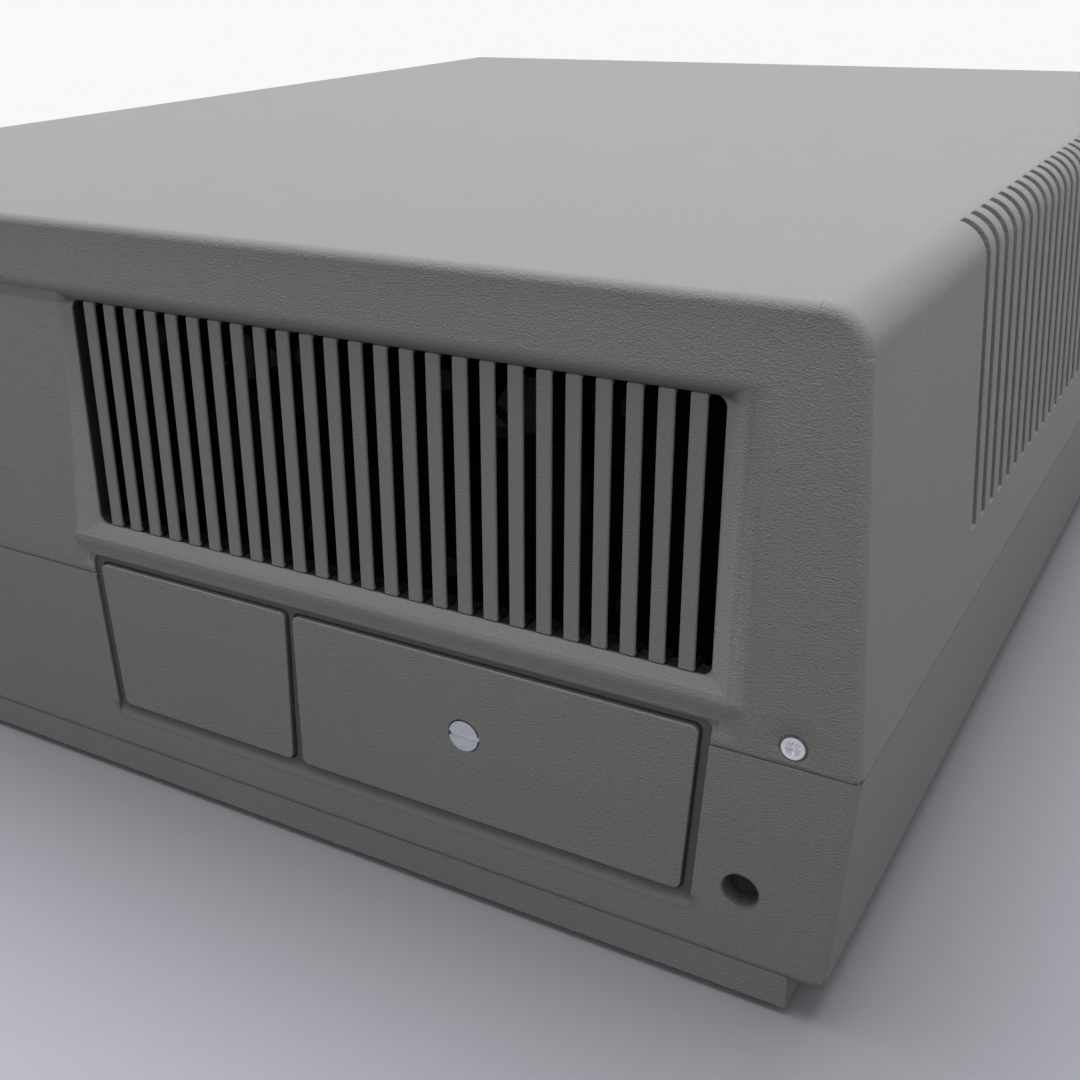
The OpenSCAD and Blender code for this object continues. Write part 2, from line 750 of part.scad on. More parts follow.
// Coin fastener in the large cover
fastener_share = 0.458;
fastener_rise = 25.3;
fastener_x = large_x0 + (large_x1 - large_x0) * fastener_share;
fastener_z = cover_z0 + fastener_rise;
fastener_t = 1.8;
fastener_ring = 0.35;
fastener_floor = 1.4;
fastener_boss = 14;
fastener_len = 15;
fastener_slot = 1.3;
module large_cover() {
    color("dimgray")
        difference() {
            union() {
                along_y(rear_y, cover_t) large_outline(0);
                difference() {
                    along_y(rear_y + cover_t - lap, skirt_depth) large_outline(seat_w + fit);
                    along_y(rear_y + cover_t - 2 * lap, skirt_depth + over)
                        large_outline(seat_w + fit + skirt_t);
                }
                rod_y(fastener_x, fastener_z, rear_y + cover_t - lap,
                    rear_y + fastener_t + fit + fastener_floor + boss_h, fastener_boss);
            }
            rod_y(fastener_x, fastener_z, rear_y - over, rear_y + fastener_t + fit,
                fastener_dia + 2 * fastener_ring);
            rod_y(fastener_x, fastener_z, rear_y, rear_y + cover_pad + over, fastener_shank + 2 * run);
        }
}
module cover_fastener() {
    color("gainsboro")
        difference() {
            union() {
                rod_y(fastener_x, fastener_z, rear_y, rear_y + fastener_t, fastener_dia);
                rod_y(fastener_x, fastener_z, rear_y + fastener_t - lap, rear_y + fastener_len,
                    fastener_shank);
            }
            box([fastener_x - fastener_dia, rear_y - over, fastener_z - fastener_slot / 2],
                [fastener_x + fastener_dia, rear_y + fastener_t / 2, fastener_z + fastener_slot / 2]);
            // Groove that the receptacle's detent holds
            difference() {
                rod_y(fastener_x, fastener_z, rear_y + fastener_len - 2 * fastener_t,
                    rear_y + fastener_len - fastener_t, fastener_shank + over);
                rod_y(fastener_x, fastener_z, rear_y, rear_y + fastener_len, fastener_shank * 0.76);
            }
        }
}

// Sheet metal plate behind the covers
panel_gap = 5;
port_y = rear_y + cover_pad + panel_gap;
recept_dia = 10;
recept_flange = 16;
module fastener_receptacle() {
    color("silver")
        difference() {
            union() {
                rod_y(fastener_x, fastener_z, port_y - sheet, port_y, recept_flange);
                rod_y(fastener_x, fastener_z, port_y - lap, rear_y + fastener_len + over, recept_dia);
            }
            rod_y(fastener_x, fastener_z, port_y - 2 * sheet, rear_y + fastener_len + receptacle_end,
                fastener_shank + 2 * run);
        }
}
// Three connectors on the rear edge of the mainboard
tray_z = floor_z + sheet;
board_z = tray_z + standoff_h;
port_w = 46;
port_h = 12;
port_d = 18;
port_xs = [(small_x0 + small_x1) / 2, (large_x0 + fastener_x) / 2 - recept_dia / 2,
    (large_x1 + fastener_x) / 2 + recept_dia / 2];
port_ws = [1, 0.72, 0.92];
port_z = board_z + board_t + port_h / 2;
port_nose = 5;
module port_panel() {
    color("silver")
        difference() {
            union() {
                box([pad_x0 + ledge, port_y, tray_z], [pad_x1 - ledge, port_y + sheet, recess_z1]);
                box([pad_x0 + ledge, port_y, tray_z], [pad_x1 - ledge, port_y + 3 * panel_gap, tray_z + sheet]);
            }
            rod_y(fastener_x, fastener_z, port_y - over, port_y + sheet + over, recept_dia + 2 * fit);
            for (i = [0 : len(port_xs) - 1])
                box([port_xs[i] - port_w * port_ws[i] / 2 - fit, port_y - over, port_z - port_h / 2 - fit],
                    [port_xs[i] + port_w * port_ws[i] / 2 + fit, port_y + sheet + over,
                        port_z + port_h / 2 + fit]);
        }
}
pin_pitch = 2.77;
pin_dia = 1;
module port_connectors() {
    color("darkslategray")
        for (i = [0 : len(port_xs) - 1]) {
            w = port_w * port_ws[i];
            difference() {
                box([port_xs[i] - w / 2, port_y - port_nose, port_z - port_h / 2],
                    [port_xs[i] + w / 2, port_y + port_d, port_z + port_h / 2]);
                for (k = [0 : floor((w - port_h) / pin_pitch)])
                    for (r = [-0.5, 0.5])
                        rod_y(port_xs[i] - w / 2 + port_h / 2 + k * pin_pitch, port_z + r * pin_pitch,
                            port_y - port_nose - over, port_y - port_nose + pin_hole, pin_dia);
            }
        }
}

// Fans behind the grille
fan_mid_z = (grille_z0 + grille_z1) / 2;
fan_xs = [grille_x0 + grille_w * 0.26, grille_x1 - grille_w * 0.26];
fan_y = bracket_y + sheet;
fan_rim = 3;
fan_bore = fan_size - fan_rim;
fan_hole_in = 5;
fan_floor = 3;
hub_dia = 25;
pin_shaft = 3;
blade_t = 1.6;
blade_pitch_a = 35;
module fan_bracket() {
    color("silver")
        difference() {
            box([bracket_x0, bracket_y, grille_z0 - flange_w], [bracket_x1, fan_y, grille_z1 + flange_w]);
            for (x = fan_xs) {
                rod_y(x, fan_mid_z, bracket_y - over, fan_y + over, fan_bore);
                for (p = fan_spots(x))
                    rod_y(p[0], p[1], bracket_y - over, fan_y + over, screw_dia + 2 * screw_play);
            }
            for (p = bracket_spots())
                rod_y(p[0], p[1], bracket_y - over, fan_y + over, screw_dia + 2 * screw_play);
        }
}
module bracket_screws() {
    color("silver")
        for (p = bracket_spots()) {
            rod_y(p[0], p[1], pad_y - collar_depth + screw_bite, fan_y + lap, screw_dia);
            rod_y(p[0], p[1], fan_y, fan_y + head_h, screw_head);
        }
}
function fan_spots(x) = [for (i = [-1, 1]) for (k = [-1, 1])
    [x + i * (fan_size / 2 - fan_hole_in), fan_mid_z + k * (fan_size / 2 - fan_hole_in)]];
module fan_frames() {
    color("black")
        for (x = fan_xs) {
            difference() {
                box([x - fan_size / 2, fan_y, fan_mid_z - fan_size / 2],
                    [x + fan_size / 2, fan_y + fan_depth, fan_mid_z + fan_size / 2]);
                rod_y(x, fan_mid_z, fan_y - over, fan_y + fan_depth + over, fan_bore);
                for (p = fan_spots(x))
                    rod_y(p[0], p[1], fan_y - over, fan_y + fan_depth + over, screw_dia + 2 * screw_play);
            }
            // Motor plate and its four arms
            difference() {
                union() {
                    rod_y(x, fan_mid_z, fan_y + fan_depth - fan_floor, fan_y + fan_depth, hub_dia + over);
                    for (a = [0, 90])
                        translate([x, fan_y + fan_depth - fan_floor / 2, fan_mid_z])
                            rotate([0, a, 0])
                                cube([fan_bore + over, fan_floor, fan_floor], center = true);
                }
                rod_y(x, fan_mid_z, fan_y + fan_depth - fan_floor - over, fan_y + fan_depth + over,
                    pin_shaft + 2 * run);
            }
        }
}
module fan_screws() {
    color("silver")
        for (x = fan_xs)
            for (p = fan_spots(x)) {
                rod_y(p[0], p[1], bracket_y - head_h, bracket_y, screw_head);
                rod_y(p[0], p[1], bracket_y - lap, fan_y + fan_depth, screw_dia);
            }
}
// Rotor: hub, shaft and blades, clear of the frame all round
rotor_gap = 1;
module fan_rotor(x) {
    color("black") {
        rod_y(x, fan_mid_z, fan_y + rotor_gap, fan_y + fan_depth - fan_floor - rotor_gap, hub_dia);
        rod_y(x, fan_mid_z, fan_y + fan_depth - fan_floor - rotor_gap - lap, fan_y + fan_depth, pin_shaft);
        intersection() {
            rod_y(x, fan_mid_z, fan_y + rotor_gap, fan_y + fan_depth - fan_floor - rotor_gap,
                fan_bore - 2 * rotor_gap);
            for (i = [0 : blade_count - 1])
                translate([x, fan_y + (fan_depth - fan_floor) / 2, fan_mid_z])
                    rotate([0, i * 360 / blade_count, 0])
                        translate([0, 0, fan_bore / 4 + hub_dia / 8])
                            rotate([0, 0, blade_pitch_a])
                                cube([blade_t, fan_depth - 2 * fan_floor, fan_bore / 2 - hub_dia / 4],
                                    center = true);
        }
    }
}
module fan_rotor_left() fan_rotor(fan_xs[0]);
module fan_rotor_right() fan_rotor(fan_xs[1]);

// Steel tray on the floor of the lower shell
tray_side = 44;
tray_rim = 6;
tray_x0 = -side_x + tray_side;
tray_edge = 24;
tray_x1 = side_x - tray_edge;
tray_y0 = rear_y + 2 * cover_pad;
tray_y1 = front_y - fascia_set - 4 * fascia_t;
module chassis_tray() {
    color("silver") {
        box([tray_x0, tray_y0, floor_z], [tray_x1, tray_y1, tray_z]);
        box([tray_x0, tray_y1 - sheet, floor_z], [tray_x1, tray_y1, tray_z + tray_rim]);
    }
}
board_x1 = tray_x1 - fit;
board_x0 = tray_x0 + supply_w + board_clear;
board_w = board_x1 - board_x0;
board_y0 = port_y + sheet + 2 * fit;
board_y1 = board_y0 + board_d;
board_in = 8;
stand_dia = 6;
board_spots = [for (x = [board_x0 + board_in, (board_x0 + board_x1) / 2, board_x1 - board_in])
    for (y = [board_y0 + 3 * board_in, (board_y0 + board_y1) / 2, board_y1 - board_in]) [x, y]];
module board_standoffs() {
    color("gold")
        for (p = board_spots)
            difference() {
                rod_z(p[0], p[1], tray_z, board_z, stand_dia);
                rod_z(p[0], p[1], tray_z + sheet, board_z + over, screw_dia + 2 * screw_play);
            }
}
module mainboard() {
    color("darkgreen")
        difference() {
            box([board_x0, board_y0, board_z], [board_x1, board_y1, board_z + board_t]);
            for (p = board_spots)
                rod_z(p[0], p[1], board_z - over, board_z + board_t + over, screw_dia + 2 * screw_play);
        }
}
module board_screws() {
    color("silver")
        for (p = board_spots) {
            rod_z(p[0], p[1], tray_z + 2 * sheet, board_z + board_t + lap, screw_dia);
            rod_z(p[0], p[1], board_z + board_t, board_z + board_t + head_h, screw_head);
        }
}
// Rows of chips, in shares of the board
chip_rows = 6;
chip_cols = 8;
chip_w = 7;
chip_l = 20;
chip_h = 4;
chip_zone_share = 0.5;
module board_chips() {
    color("black")
        for (i = [0 : chip_cols - 1])
            for (k = [0 : chip_rows - 1])
                translate([board_x0 + 3 * board_in + i * (board_w - 5 * board_in) / chip_cols,
                        board_y0 + board_d * chip_zone_share + k * (board_d * 0.44) / chip_rows,
                        board_z + board_t])
                    cube([chip_w, chip_l * 0.8, chip_h]);
}
cpu_l = 52;
cpu_w = 15;
module processor() {
    color("black")
        translate([board_x0 + 2 * board_in, board_y0 + board_d * 0.32, board_z + board_t]) {
            cube([cpu_l, cpu_w, chip_h]);
            translate([cpu_l / 4, cpu_w / 4, chip_h - lap])
                cube([cpu_l / 2, cpu_w / 2, chip_h / 4]);
        }
}
slot_count = 5;
slot_len = 86;
slot_t = 9;
slot_h = 14;
slot_gap = 20;
module slot_connectors() {
    color("saddlebrown")
        for (i = [0 : slot_count - 1])
            translate([board_x1 - 3 * board_in - slot_t - i * slot_gap, board_y0 + 5 * board_in,
                    board_z + board_t])
                difference() {
                    cube([slot_t, slot_len, slot_h]);
                    translate([slot_t * 0.4, slot_t / 2, slot_h / 3])
                        cube([slot_t * 0.2, slot_len - slot_t, slot_h]);
                }
}

// Power supply on the tray, left rear
supply_x0 = tray_x0;
supply_x1 = supply_x0 + supply_w;
supply_y0 = rear_y + wall + inlet_d;
supply_y1 = supply_y0 + supply_d;
supply_z1 = tray_z + supply_h;
flange_in = 8;
inlet_in = 4;
fuse_gap = 3;
inlet_half = (inlet_w + flange_in) / 2;
inlet_mid_x = tray_x0 + inlet_in + inlet_half;
fuse_mid_x = inlet_mid_x + inlet_half + fuse_gap + fuse_dia / 2 + 2 * fuse_wall;
lid_t = sheet;
vent_hole = 4;
module supply_box() {
    color("silver")
        difference() {
            box([supply_x0, supply_y0, tray_z], [supply_x1, supply_y1, supply_z1 - lid_t]);
            box([supply_x0 + sheet, supply_y0 + sheet, tray_z + sheet],
                [supply_x1 - sheet, supply_y1 - sheet, supply_z1 + over]);
            for (i = [0 : 7])
                box([supply_x1 - 2 * sheet, supply_y0 + supply_d * (0.2 + 0.08 * i), tray_z + supply_h * 0.4],
                    [supply_x1 + over, supply_y0 + supply_d * (0.2 + 0.08 * i) + vent_hole,
                        tray_z + supply_h * 0.8]);
        }
}
module supply_lid() {
    color("silver")
        box([supply_x0, supply_y0, supply_z1 - lid_t], [supply_x1, supply_y1, supply_z1]);
}
psu_board_z = tray_z + sheet + standoff_h;
psu_in = 4;
module supply_board() {
    color("peru") {
        box([supply_x0 + psu_in, supply_y0 + psu_in, psu_board_z],
            [supply_x1 - psu_in, supply_y1 - psu_in, psu_board_z + board_t]);
        for (x = [supply_x0 + 3 * psu_in, supply_x1 - 3 * psu_in])
            for (y = [supply_y0 + 3 * psu_in, supply_y1 - 3 * psu_in])
                rod_z(x, y, tray_z + sheet, psu_board_z + lap, stand_dia);
    }
}
core_w = 50;
core_h = 42;
core_d = 40;
module supply_transformer() {
    color("goldenrod") {
        translate([(supply_x0 + supply_x1 - core_w) / 2, supply_y0 + supply_d * 0.55, psu_board_z + board_t]) {
            difference() {
                cube([core_w, core_d, core_h]);
                translate([core_w / 6, -over, core_h / 5])
                    cube([core_w * 2 / 3, core_d + 2 * over, core_h * 3 / 5]);
            }
            translate([core_w / 6 + fit, -core_d / 8, core_h / 5 + fit])
                cube([core_w * 2 / 3 - 2 * fit, core_d * 1.25, core_h * 3 / 5 - 2 * fit]);
        }
    }
}
cap_dia = 22;
cap_h = 35;
module supply_capacitors() {
    color("navy")
        for (i = [0, 1])
            rod_z(supply_x0 + psu_in + cap_dia * (0.9 + 1.3 * i), supply_y0 + supply_d * 0.36,
                psu_board_z + board_t, psu_board_z + board_t + cap_h, cap_dia);
}
fin_count = 6;
fin_t = 1.5;
fin_d = 12;
module supply_heatsink() {
    color("gray")
        translate([supply_x0 + 3 * psu_in, supply_y1 - supply_d * 0.12, psu_board_z + board_t]) {
            cube([supply_w - 6 * psu_in, 2 * fin_t, core_h]);
            for (i = [0 : fin_count - 1])
                translate([i * (supply_w - 6 * psu_in - fin_t) / (fin_count - 1), 0, 0])
                    cube([fin_t, fin_d, core_h]);
        }
}
module mains_inlet() {
    color("black")
        difference() {
            union() {
                box([inlet_mid_x - inlet_w / 2, rear_y + panel_depth + fit, rear_parts_z - inlet_h / 2],
                    [inlet_mid_x + inlet_w / 2, supply_y0, rear_parts_z + inlet_h / 2]);
                box([inlet_mid_x - inlet_w / 2 - flange_in / 2, rear_y + wall, rear_parts_z - inlet_h / 2 - 1.5 * wall],
                    [inlet_mid_x + inlet_w / 2 + flange_in / 2, rear_y + 2 * wall,
                        rear_parts_z + inlet_h / 2 + 1.5 * wall]);
            }
            box([inlet_mid_x - inlet_w / 2 + fuse_wall, rear_y - over, rear_parts_z - inlet_h / 2 + fuse_wall],
                [inlet_mid_x + inlet_w / 2 - fuse_wall, supply_y0 - wall, rear_parts_z + inlet_h / 2 - fuse_wall]);
        }
    color("silver")
        for (i = [-1, 0, 1])
            box([inlet_mid_x + i * inlet_w / 4 - pin_t / 2, rear_y + 2 * wall, rear_parts_z - pin_w / 4],
                [inlet_mid_x + i * inlet_w / 4 + pin_t / 2, supply_y0 - wall + lap, rear_parts_z + pin_w * 3 / 4]);
}
fuse_cap_d = 9;
module fuse_holder() {
    color("black")
        difference() {
            union() {
                rod_y(fuse_mid_x, rear_parts_z, rear_y + panel_depth + fit, supply_y0,
                    fuse_dia + 2 * fuse_wall);
                rod_y(fuse_mid_x, rear_parts_z, rear_y + wall, rear_y + 2 * wall, fuse_dia + 4 * fuse_wall);
            }
            rod_y(fuse_mid_x, rear_parts_z, rear_y - over, supply_y0 - wall, fuse_dia + 2 * run);
        }
}
module fuse_cap() {
    color("black")
        difference() {
            rod_y(fuse_mid_x, rear_parts_z, rear_y + panel_depth + 2 * fit,
                rear_y + panel_depth + fuse_cap_d, fuse_dia);
            box([fuse_mid_x - fuse_dia / 3, rear_y, rear_parts_z - fastener_slot / 2],
                [fuse_mid_x + fuse_dia / 3, rear_y + panel_depth + 2 * fuse_wall,
                    rear_parts_z + fastener_slot / 2]);
        }
}

// Front fascia and what it carries
fascia_y1 = front_y - fascia_set;
fascia_y0 = fascia_y1 - fascia_t;
faceplate_edge = 1.5;
drive_side = 40;
drive_rise = 30;
deck_rise = 14;
switch_side = 44;
switch_rise = 30;
reset_step = 40;
lamp_step = 66;
speaker_step = 130;
drive_x1 = side_x - drive_side;
drive_x0 = drive_x1 - drive_w;
drive_z0 = seam_z + drive_rise;
drive_z1 = drive_z0 + drive_h;
drive_mid_x = (drive_x0 + drive_x1) / 2;
switch_x = -side_x + switch_side;
switch_z = floor_z + switch_rise;
switch_wall = 1.6;
switch_d = 20;
switch_rim = 2.4;
swing_room = 0.7;
switch_in_w = rocker_w / 2 + fit;
switch_in_h = rocker_h / 2 + swing_room;
reset_x = switch_x + reset_step;
reset_play = 0.3;
lamp_x = switch_x + lamp_step;
lamp_dia = 5;
speaker_x = switch_x + speaker_step;
speaker_dia = 57;
module fascia_outline(t) {
    upper_section(t, seam_z - lap);
    lower_section(t, seam_z);
}
speaker_slots = 7;
speaker_pitch = 6;
module front_fascia() {
    color("dimgray")
        difference() {
            along_y(fascia_y0, fascia_t) fascia_outline(wall + fit);
            along_y(fascia_y0 - over, fascia_t + 2 * over)
                rounded(rect(drive_x0 - faceplate_edge - fit, drive_z0 - fit, drive_x1 + faceplate_edge + fit,
                    drive_z1 + fit), fit);
            box([switch_x - switch_in_w - switch_wall - fit, fascia_y0 - over,
                    switch_z - switch_in_h - switch_wall - fit],
                [switch_x + switch_in_w + switch_wall + fit, fascia_y1 + over,
                    switch_z + switch_in_h + switch_wall + fit]);
            rod_y(reset_x, switch_z, fascia_y0 - over, fascia_y1 + over, button_dia + 2 * reset_play);
            rod_y(lamp_x, switch_z, fascia_y0 - over, fascia_y1 + over, lamp_dia + fit);
            for (i = [0 : speaker_slots - 1])
                box([speaker_x - speaker_dia * 0.36,
                        fascia_y0 - over,
                        switch_z + (i - (speaker_slots - 1) / 2) * speaker_pitch - speaker_slot / 2],
                    [speaker_x + speaker_dia * 0.36, fascia_y1 + over,
                        switch_z + (i - (speaker_slots - 1) / 2) * speaker_pitch + speaker_slot / 2]);
            // Plain styling grooves across the fascia
            for (i = [0 : 3])
                box([-side_x + 6 * wall, fascia_y1 - fascia_t / 4, drive_z1 + 2 * (i + 1) * groove_h],
                    [side_x - 6 * wall, fascia_y1 + over, drive_z1 + (2 * i + 3) * groove_h]);
        }
}
pivot_dia = 3;
pivot_y = fascia_y1 - pivot_dia;
module power_switch() {
    color("black")
        difference() {
            union() {
                box([switch_x - switch_in_w - switch_wall, fascia_y1 - switch_d,
                        switch_z - switch_in_h - switch_wall],
                    [switch_x + switch_in_w + switch_wall, fascia_y1, switch_z + switch_in_h + switch_wall]);
                box([switch_x - switch_in_w - switch_rim - switch_wall, fascia_y1,
                        switch_z - switch_in_h - switch_rim - switch_wall],
                    [switch_x + switch_in_w + switch_rim + switch_wall, fascia_y1 + switch_wall,
                        switch_z + switch_in_h + switch_rim + switch_wall]);
            }
            box([switch_x - switch_in_w, fascia_y1 - switch_d + 2 * switch_wall, switch_z - switch_in_h],
                [switch_x + switch_in_w, fascia_y1 + 2 * switch_wall, switch_z + switch_in_h]);
            rod_x(pivot_y, switch_z, switch_x - switch_in_w - switch_wall - over,
                switch_x + switch_in_w + switch_wall + over, pivot_dia + 2 * run);
        }
}
module power_rocker() {
    color("darkred")
        translate([0, pivot_y, switch_z])
            rotate([-rocker_swing / 2, 0, 0])
                union() {
                    along_x(switch_x - rocker_w / 2, rocker_w)
                        polygon([[-2 * pivot_dia, -pivot_dia], [pivot_dia * 1.2, -rocker_h / 2],
                            [pivot_dia * 1.7, 0], [pivot_dia * 1.2, rocker_h / 2],
                            [-2 * pivot_dia, pivot_dia]]);
                    rod_x(0, 0, switch_x - switch_in_w - switch_wall, switch_x + switch_in_w + switch_wall,
                        pivot_dia);
                }
}
module reset_button() {
    color("gray") {
        rod_y(reset_x, switch_z, fascia_y0 - 2 * fit, fascia_y1 + button_travel, button_dia);
        rod_y(reset_x, switch_z, fascia_y0 - button_travel - 3 * fascia_t, fascia_y0 - 2 * fit + lap,
            button_dia / 2);
    }
}
module reset_switch() {
    color("black")
        difference() {
            union() {
                box([reset_x - button_dia, fascia_y0 - button_travel - 6 * fascia_t, switch_z - button_dia],
                    [reset_x + button_dia, fascia_y0 - button_travel - fascia_t, switch_z + button_dia]);
                for (i = [-1, 1])
                    box([reset_x + i * button_dia * 1.25 - button_dia / 4,
                            fascia_y0 - button_travel - 2 * fascia_t, switch_z - button_dia],
                        [reset_x + i * button_dia * 1.25 + button_dia / 4, fascia_y0,
                            switch_z + button_dia]);
                box([reset_x - button_dia * 1.5, fascia_y0 - button_travel - 2 * fascia_t,
                        switch_z - button_dia],
                    [reset_x + button_dia * 1.5, fascia_y0 - button_travel - fascia_t,
                        switch_z + button_dia]);
            }
            rod_y(reset_x, switch_z, fascia_y0 - 2 * button_travel - 3 * fascia_t - 2 * fit, fascia_y0 + over,
                button_dia / 2 + 2 * run);
        }
}
module lamp_lens() {
    color("red") {
        rod_y(lamp_x, switch_z, fascia_y0 - lap, fascia_y1 + lamp_dia / 4, lamp_dia);
        rod_y(lamp_x, switch_z, fascia_y0 - lamp_dia / 4, fascia_y0, lamp_dia * 1.2);
    }
}
module lamp_holder() {
    color("black")
        difference() {
            rod_y(lamp_x, switch_z, fascia_y0 - 2 * lamp_dia, fascia_y0, lamp_dia * 2);
            rod_y(lamp_x, switch_z, fascia_y0 - lamp_dia / 4 - fit, fascia_y0 + over,
                lamp_dia * 1.2 + 2 * fit);
        }
}
module speaker() {
    color("darkslategray") {
        difference() {
            rod_y(speaker_x, switch_z, fascia_y0 - 3 * fascia_t, fascia_y0, speaker_dia);
            rod_y(speaker_x, switch_z, fascia_y0 - 2 * fascia_t, fascia_y0 + over, speaker_dia * 0.86);
        }
        rod_y(speaker_x, switch_z, fascia_y0 - 6 * fascia_t, fascia_y0 - 3 * fascia_t + lap,
            speaker_dia * 0.5);
    }
}

// Disk drive on a steel stand
drive_y1 = fascia_y0 - fit;
drive_y0 = drive_y1 - drive_d;
plate_t = 4;
drive_wall = 2.5;
stand_in = 14;
module drive_stand() {
    color("silver")
        for (x = [drive_x0 - sheet - fit, drive_x1 + fit]) {
            box([x, drive_y0 + stand_in, tray_z], [x + sheet, drive_y1 - stand_in, drive_z1 - 4 * sheet]);
            box([drive_x0 - sheet - fit, drive_y0 + stand_in, drive_z0 - sheet],
                [drive_x1 + fit + sheet, drive_y0 + 2 * stand_in, drive_z0]);
            box([drive_x0 - sheet - fit, drive_y1 - 2 * stand_in, drive_z0 - sheet],
                [drive_x1 + fit + sheet, drive_y1 - stand_in, drive_z0]);
        }
}
spindle_y = drive_y0 + drive_d * 0.42;
spindle_dia = 34;
spindle_shaft = 6;
deck_z = drive_z0 + deck_rise;
deck_t = 3;
lever_shaft = 6;
lever_z = drive_z0 + drive_h * 0.66;
guide_dia = 5;
lead_side = 22;
lead_x = drive_mid_x + lead_side;
lead_rise = 7;
lead_z = deck_z + deck_t + lead_rise;
bearing_t = 4;
head_y0 = drive_y0 + 2.5 * bearing_t;
head_y1 = spindle_y - spindle_dia / 2 - 2 * deck_t;
carriage_l = 24;
carriage_w = 40;
carriage_h = 9;
module drive_frame() {
    // Bearings of the lead screw
    color("gainsboro")
        for (y = [head_y0 - bearing_t, head_y1])
            difference() {
                box([lead_x - guide_dia, y, deck_z + deck_t - lap],
                    [lead_x + guide_dia, y + bearing_t, lead_z + guide_dia]);
                rod_y(lead_x, lead_z, y - over, y + bearing_t + over, guide_dia + 2 * run);
            }
    color("gainsboro")
        difference() {
            box([drive_x0, drive_y0, drive_z0], [drive_x1, drive_y1 - plate_t, drive_z1]);
            box([drive_x0 + drive_wall, drive_y0 - over, deck_z + deck_t],
                [drive_x1 - drive_wall, drive_y1, drive_z1 + over]);
            box([drive_x0 + drive_wall, drive_y0 - over, drive_z0 - over],
                [drive_x1 - drive_wall, drive_y1, deck_z]);
            rod_z(drive_mid_x, spindle_y, drive_z0, drive_z1, spindle_shaft + 2 * run);
            rod_y(drive_mid_x, lever_z, drive_y1 - 2 * plate_t, drive_y1, 2 * lever_shaft);
        }
}
lever_l = 34;
lever_h = 8;
lever_t = 5;
disk_slot_h = 5;
module drive_faceplate() {
    color("black")
        difference() {
            box([drive_x0 - faceplate_edge, drive_y1 - plate_t, drive_z0],
                [drive_x1 + faceplate_edge, fascia_y1 + faceplate_edge, drive_z1]);
            // Slot for the disk, and its finger notch
            box([drive_x0 + drive_wall * 3, drive_y1 - plate_t - over, deck_z + deck_t + disk_slot_h / 2],
                [drive_x1 - drive_wall * 3, fascia_y1 + faceplate_edge + over,
                    deck_z + deck_t + 1.5 * disk_slot_h]);
            rod_y(drive_mid_x, lever_z, drive_y1 - plate_t - over, fascia_y1 + faceplate_edge + over,
                lever_shaft + 2 * run);
        }
}
lever_gap = 0.4;
module drive_lever() {
    color("dimgray") {
        along_y(fascia_y1 + faceplate_edge + lever_gap, lever_t)
            rounded(rect(drive_mid_x - lever_l / 2, lever_z - lever_h / 2, drive_mid_x + lever_l / 2,
                lever_z + lever_h / 2), lever_h / 3);
        rod_y(drive_mid_x, lever_z, drive_y1 - plate_t - lever_tail, fascia_y1 + faceplate_edge + lever_gap + lap,
            lever_shaft);
    }
}
module drive_spindle() {
    color("silver") {
        rod_z(drive_mid_x, spindle_y, deck_z + deck_t + lever_gap, deck_z + deck_t + 3 * deck_t,
            spindle_dia);
        rod_z(drive_mid_x, spindle_y, deck_z - 2 * deck_t, deck_z + deck_t + lever_gap + lap,
            spindle_shaft);
    }
}
motor_dia = 60;
module drive_motor() {
    color("darkslategray")
        difference() {
            rod_z(drive_mid_x, spindle_y, deck_z - 3 * deck_t, deck_z, motor_dia);
            rod_z(drive_mid_x, spindle_y, deck_z - 2 * deck_t - lever_gap, deck_z + over,
                spindle_shaft + 2 * run);
        }
}
// Lead screw with its knob, and the head carriage that it drives
module head_screw() {
    color("silver")
        rod_y(lead_x, lead_z, head_y0 - 2 * bearing_t, head_y1 + bearing_t, guide_dia);
    color("darkslategray")
        rod_y(lead_x, lead_z, head_y0 - 2 * bearing_t, head_y0 - bearing_t - lever_gap, guide_dia * 1.6);
}
module head_carriage() {
    color("gainsboro")
        difference() {
            box([lead_x - carriage_w, head_y0 + over, deck_z + deck_t + lever_gap],
                [lead_x + 2 * guide_dia, head_y0 + over + carriage_l,
                    deck_z + deck_t + lever_gap + carriage_h + guide_dia]);
            rod_y(lead_x, lead_z, head_y0, head_y0 + 2 * carriage_l, guide_dia + 2 * run);
        }
}

upper_case();
lower_case();
base_plinth();
rubber_feet();
front_fascia();
rear_grille();
small_cover();
large_cover();
cover_fastener();
fastener_receptacle();
port_panel();
port_connectors();
case_screws();
base_screws();
fan_bracket();
bracket_screws();
fan_frames();
fan_rotor_left();
fan_rotor_right();
fan_screws();
chassis_tray();
mainboard();
board_standoffs();
board_screws();
board_chips();
processor();
slot_connectors();
supply_box();
supply_lid();
supply_board();
supply_transformer();
supply_capacitors();
supply_heatsink();
mains_inlet();
fuse_holder();
fuse_cap();
power_switch();
power_rocker();
lamp_lens();
lamp_holder();
reset_button();
reset_switch();
drive_stand();
drive_frame();
drive_faceplate();
drive_lever();
drive_spindle();
drive_motor();
head_screw();
head_carriage();
speaker();
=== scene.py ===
import bpy, bmesh, json, math
from mathutils import Matrix, Vector


